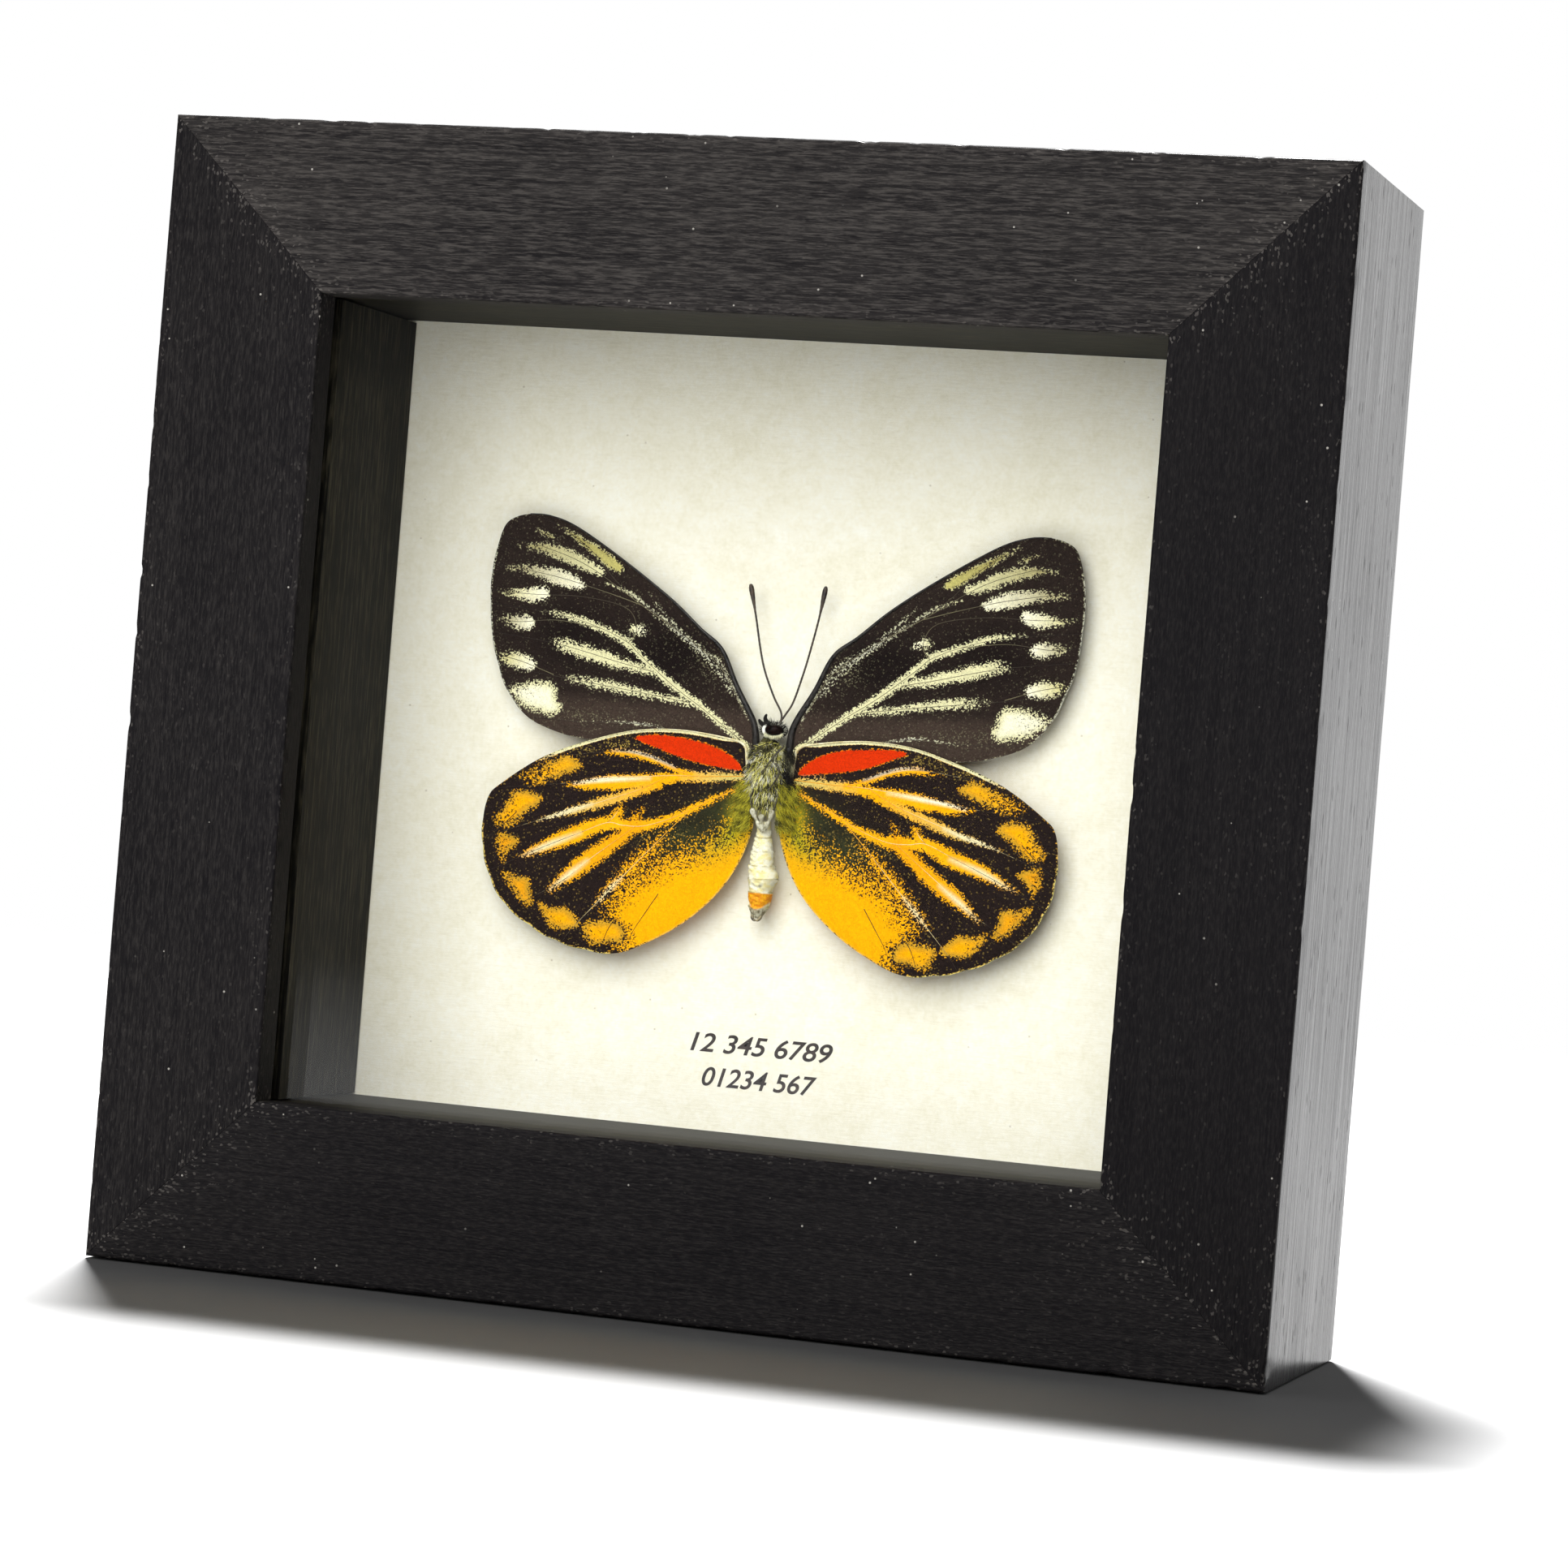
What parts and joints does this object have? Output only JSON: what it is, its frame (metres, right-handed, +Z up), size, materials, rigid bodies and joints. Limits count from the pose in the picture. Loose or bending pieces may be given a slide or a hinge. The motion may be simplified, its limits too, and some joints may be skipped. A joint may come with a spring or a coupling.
{
  "type": "framed butterfly specimen",
  "caption": "Dried butterfly with spread wings, underside up, set over paper in a small black wooden shadow box frame with a glass front and a notched hanger.",
  "frame": {"origin": "middle of the frame's base, on the surface it stands on; halfway through the whole depth, from the frame's front to the nail heads on its back", "axes": "+Z up; +X to the right of someone who looks at the butterfly; +Y from the front of the frame to its back"},
  "size_m": [0.1396, 0.042, 0.1333],
  "materials": {
    "frame_wood": "satin black stain with fine grain, eased edges",
    "spacer_wood": "thin matt dark stain",
    "glass": "clear float glass",
    "paper": "matt mottled parchment",
    "foam": "white paper-faced foam board",
    "hardboard": "brown hardboard, smooth face out",
    "zinc_steel": "zinc-plated",
    "brass": "brass-plated steel",
    "forewing_scales": "matt wing scales, brown-black with cream markings",
    "hindwing_scales": "matt wing scales, yellow, orange and black with a red patch",
    "thorax_down": "olive-grey down",
    "abdomen_scales": "cream scales in rings, orange-brown tip",
    "chitin": "dark glossy chitin"
  },
  "bodies": {
    "root": {"abdomen": "abdomen_scales", "antenna_left": "chitin", "antenna_right": "chitin", "back_board": "hardboard", "backing_paper": "paper", "foam_board": "foam", "forewing_left": "forewing_scales", "forewing_right": "forewing_scales", "glass_pane": "glass", "glazier_point_bottom_1": "zinc_steel", "glazier_point_bottom_2": "zinc_steel", "glazier_point_left_1": "zinc_steel", "glazier_point_left_2": "zinc_steel", "glazier_point_right_1": "zinc_steel", "glazier_point_right_2": "zinc_steel", "glazier_point_top_1": "zinc_steel", "glazier_point_top_2": "zinc_steel", "hanger": "brass", "hanger_nail_left": "brass", "hanger_nail_right": "brass", "head": "chitin", "hindwing_left": "hindwing_scales", "hindwing_right": "hindwing_scales", "leg_front_left": "chitin", "leg_front_right": "chitin", "leg_hind_left": "chitin", "leg_hind_right": "chitin", "leg_middle_left": "chitin", "leg_middle_right": "chitin", "rail_bottom": "frame_wood", "rail_left": "frame_wood", "rail_right": "frame_wood", "rail_top": "frame_wood", "spacer_bottom": "spacer_wood", "spacer_left": "spacer_wood", "spacer_right": "spacer_wood", "spacer_top": "spacer_wood", "thorax": "thorax_down"}
  },
  "joints": []
}
